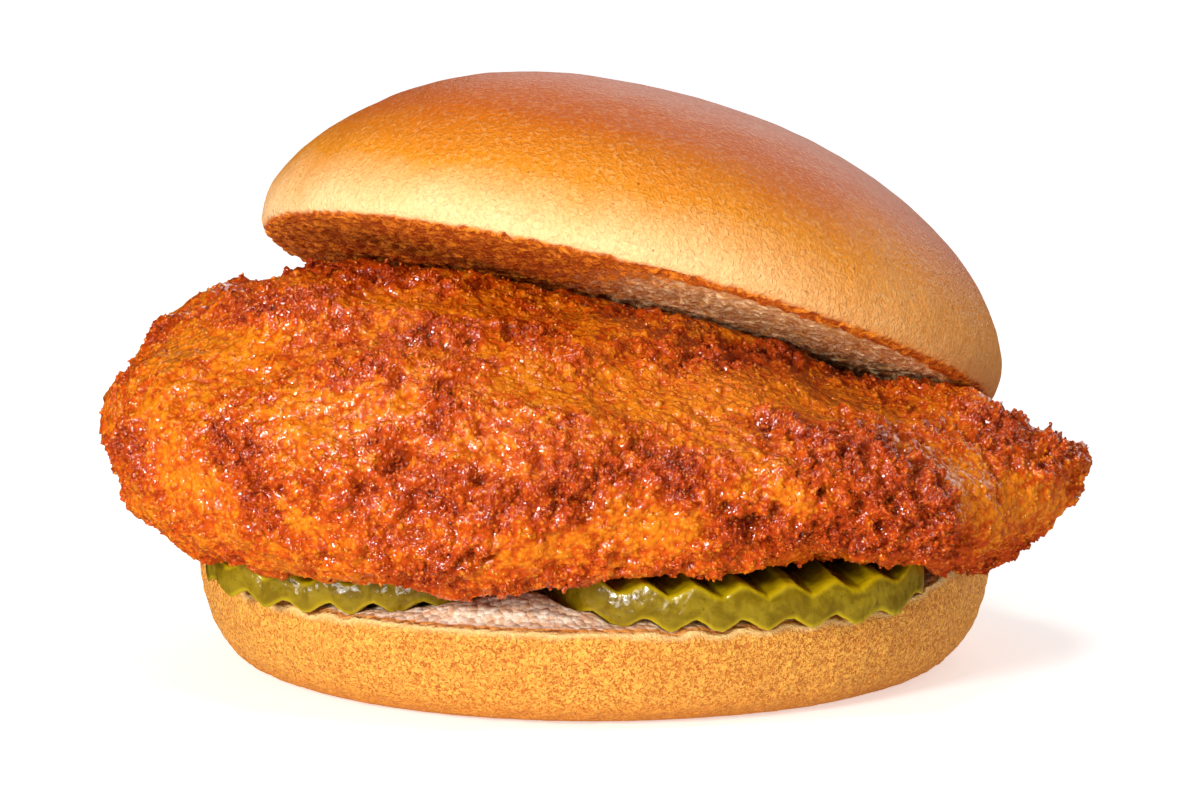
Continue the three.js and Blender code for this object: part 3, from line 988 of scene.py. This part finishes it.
@dataclass
class ChickenFillet:
    """The breaded fillet, with crags of crust and a scatter of crumbs."""

    spacing: float = 0.8
    facet_rounds: int = 10
    seed: int = 41
    crags: dict[str, Patch] = field(default_factory=lambda: CRAGS)
    golden: dict[str, Patch] = field(default_factory=lambda: GOLDEN)
    crumbs: tuple[CrumbKind, ...] = CRUMB_KINDS

    def build(self) -> list[bpy.types.Object]:
        """Models and dresses the fillet and its crumbs.

        Returns:
            The finished pieces.
        """
        mesh = as_mesh(merged_copy("chicken_fillet"), "fillet_breading")
        mesh = modified(mesh, "REMESH", mode="VOXEL", voxel_size=self.spacing * MM)
        shape = softened(mesh, self.facet_rounds)
        shape.normal_update()
        refine(shape, [f for f in shape.faces if self.shows_most(f)])
        mesh = as_mesh(shape, "fillet_breading")
        brown = self.raise_crags(mesh)
        material = BreadingFinish().material()
        body = show("fillet_breading", mesh, material, "chicken_fillet")
        scatter = CrumbScatter(mesh, brown, self.seed)
        return [body] + [scatter.build(kind, material) for kind in self.crumbs]

    def shows_most(self, face: bmesh.types.BMFace) -> bool:
        """Whether a face is on the open front, where the breading shows best."""
        spot = face.calc_center_median() / MM
        lidded = face.normal.z > 0.6 and spot.y > -14.0
        return face.normal.y < -0.12 and spot.y < 2.0 and face.normal.z > -0.8 and not lidded

    def raise_crags(self, mesh: bpy.types.Mesh) -> Field:
        """Raises the breading's crags, and stores how brown each point is and how much painted shade lies in
        its hollows.

        Args:
            mesh: The smooth fillet.

        Returns:
            The browning of each point, with some painted shade between the knobs.
        """
        points, normals = points_of(mesh), normals_of(mesh)
        height = points[:, 2] / MM
        rough = 0.4 + 0.34 * clouds(points, 11.0, 2)
        for patch in self.crags.values():
            rough += 0.62 * patch.browning * patch.share(points)
        for patch in self.golden.values():
            rough -= 0.5 * patch.browning * patch.share(points)
        belly = 1.0 - smooth_step(height, 15.0, 25.0)
        ragged = rough + 0.3 * belly + 0.45 * clouds(points, 3.6, 14, 4)
        crag = smooth_step(ragged, 0.1, 1.1)
        billows = 1.0 - np.abs(clouds(points, 4.2, 21, 4)) * 2.2
        nodules = grains(points, 2.7, 17)
        knobs = grains(points, 1.5, 19)
        lumps = (1.1 * billows + 1.7 * nodules) * crag
        rise = lumps + 0.35 * billows + (0.22 + 0.4 * crag) * knobs - 0.45 - 1.65 * crag
        rise -= 0.7 * smooth_step(-normals[:, 2], 0.2, 0.8) * crag + 0.2
        room = room_round(points, ("bun_crown", "bun_heel", "pickle_left", "pickle_right"))
        rise = np.minimum(rise * MM, np.maximum(room - 0.25 * MM, 0.0))
        # Painted shade: how deep each point lies among the nodules, knobs and billows.
        deep = 0.8 - 0.45 * nodules - 0.3 * knobs - 0.35 * billows
        hollow = crag * smooth_step(deep, 0.1, 0.7)
        # Browning; its knob term is painted shade between the knobs and paler colour on their tops.
        brown = 0.04 + 0.64 * smooth_step(ragged, 0.0, 1.35) + 0.12 * (0.6 - knobs) + 0.14 * belly
        store(mesh, "brown", brown)
        store(mesh, "hollow", 0.75 * hollow)
        set_points(mesh, points + normals * rise[:, None])
        return np.clip(brown, 0.0, 1.0)


@dataclass
class CrumbScatter:
    """Small round crumbs that are stuck to the fillet, most of them on its crags."""

    ground: bpy.types.Mesh
    brown: Field
    seed: int
    clear: float = 0.9

    def __post_init__(self) -> None:
        """Finds where crumbs can lie."""
        self.draw = np.random.default_rng(self.seed)
        self.places, self.normals = points_of(self.ground), normals_of(self.ground)
        room = room_round(self.places, ("bun_crown", "bun_heel", "pickle_left", "pickle_right"))
        weight = np.where(room > self.clear * MM, 0.04 + self.brown**2, 0.0)
        self.share = weight / weight.sum()

    def build(self, kind: CrumbKind, material: bpy.types.Material) -> bpy.types.Object:
        """Joins many copies of one uneven crumb.

        Args:
            kind: The kind of crumb.
            material: The finish of the breading.

        Returns:
            The finished piece.
        """
        draw, count = self.draw, kind.count
        chosen = draw.choice(len(self.places), size=count, replace=False, p=self.share)
        shape = bmesh.new()
        if kind.chunky:
            bmesh.ops.create_uvsphere(shape, u_segments=7, v_segments=5, radius=1.0)
            bmesh.ops.triangulate(shape, faces=shape.faces)
        else:
            bmesh.ops.create_icosphere(shape, subdivisions=1, radius=1.0)
        form = np.array([tuple(v.co) for v in shape.verts])
        faces = np.array([[v.index for v in f.verts] for f in shape.faces])
        shape.free()
        size = draw.uniform(*kind.radii, count) * draw.uniform(0.6, 1.0, count) * MM
        squash = draw.uniform(0.65, 1.25, (count, 3))
        bumps = 1.0 + 0.18 * draw.standard_normal((count, len(form)))
        centres = self.places[chosen] - self.normals[chosen] * (size * 0.35)[:, None]
        points = form[None] * bumps[..., None] * squash[:, None] * size[:, None, None]
        points = (points + centres[:, None]).reshape(-1, 3)
        corners = (faces[None] + (np.arange(count) * len(form))[:, None, None]).reshape(-1, 3)
        mesh = bpy.data.meshes.new(kind.name)
        mesh.from_pydata(points.tolist(), [], corners.tolist())
        set_points(mesh, points)
        tone = self.brown[chosen] + draw.uniform(-0.25, 0.05, count)
        store(mesh, "brown", np.repeat(tone, len(form)))
        store(mesh, "hollow", np.zeros(len(points)))
        return show(kind.name, mesh, material)


# ---------------------------------------------------------------- studio


@dataclass(frozen=True)
class SoftBox:
    """One square studio light."""

    name: str
    place: tuple[float, float, float]
    size: tuple[float, float]
    power: float
    tint: tuple[float, float, float] = (1.0, 1.0, 1.0)

    def build(self, target: Vector) -> None:
        """Hangs the light and turns it to the burger."""
        data = bpy.data.lights.new(self.name, "AREA")
        data.shape = "RECTANGLE"
        data.size, data.size_y = self.size
        data.energy = self.power
        data.color = self.tint
        lamp = bpy.data.objects.new(self.name, data)
        lamp.visible_camera = False
        lamp.location = self.place
        lamp.rotation_euler = (target - lamp.location).to_track_quat("-Z", "Y").to_euler()
        bpy.context.scene.collection.objects.link(lamp)


@dataclass
class Studio:
    """The floor, the lights and the camera."""

    target: tuple[float, float, float] = (0.0005, 0.0, 0.0327)
    distance: float = 0.6
    elevation: float = 8.8
    lens: float = 139.3
    floor_width: float = 8.0
    ambient: float = 0.34
    lights: tuple[SoftBox, ...] = (
        SoftBox("key", (-0.46, -0.78, 0.36), (0.18, 0.18), 6.2, (1.0, 0.985, 0.96)),
        SoftBox("wing", (-0.48, -0.86, 0.18), (0.6, 0.3), 2.8, (1.0, 0.985, 0.96)),
        SoftBox("top", (0.0, -0.45, 0.95), (0.2, 0.2), 2.4, (1.0, 0.985, 0.95)),
        SoftBox("back", (1.0, 2.2, 0.95), (2.8, 1.2), 22.0, (1.0, 0.93, 0.93)),
    )

    def build(self) -> None:
        """Sets up the studio."""
        target = Vector(self.target)
        for light in self.lights:
            light.build(target)
        self.lay_floor()
        self.set_world()
        self.set_camera(target)

    def lay_floor(self) -> None:
        """Lays a plain pale floor."""
        shape = bmesh.new()
        bmesh.ops.create_grid(shape, x_segments=4, y_segments=4, size=self.floor_width / 2)
        floor = bpy.data.objects.new("floor", as_mesh(shape, "floor"))
        bpy.context.scene.collection.objects.link(floor)
        sketch = Sketch("pale_floor", Specular_IOR_Level=0.1)
        sketch.surface.inputs["Base Color"].default_value = (0.9, 0.9, 0.9, 1.0)
        sketch.surface.inputs["Emission Color"].default_value = (1.0, 1.0, 1.0, 1.0)
        sketch.surface.inputs["Emission Strength"].default_value = 0.5
        sketch.surface.inputs["Roughness"].default_value = 0.9
        floor.data.materials.append(sketch.material)
        floor.visible_glossy = False

    def set_world(self) -> None:
        """Fills the shadows with a pale surround."""
        world = bpy.data.worlds.new("surround")
        world.use_nodes = True
        backdrop = world.node_tree.nodes["Background"]
        backdrop.inputs["Color"].default_value = (1.0, 1.0, 1.0, 1.0)
        backdrop.inputs["Strength"].default_value = self.ambient
        world.cycles_visibility.glossy = False
        bpy.context.scene.world = world

    def set_camera(self, target: Vector) -> None:
        """Puts the camera in front of the burger, a little above it."""
        data = bpy.data.cameras.new("camera")
        data.lens = self.lens
        data.sensor_width = 36.0
        data.clip_start = 0.01
        camera = bpy.data.objects.new("camera", data)
        tilt = math.radians(self.elevation)
        back = Vector((0.0, -math.cos(tilt), math.sin(tilt)))
        camera.location = target + back * self.distance
        camera.rotation_euler = (-back).to_track_quat("-Z", "Y").to_euler()
        bpy.context.scene.collection.objects.link(camera)
        bpy.context.scene.camera = camera
        bpy.context.scene.view_settings.view_transform = "Standard"


def main() -> None:
    """Builds the burger and its studio."""
    logging.basicConfig(level=logging.INFO, format="%(message)s")
    Studio().build()
    BunHeel().build()
    pickle = PickleFinish().material()
    PickleSlice("pickle_left", 31).build(pickle)
    PickleSlice("pickle_right", 35).build(pickle)
    ChickenFillet().build()
    BunCrown().build()


if __name__ == "__main__":
    main()
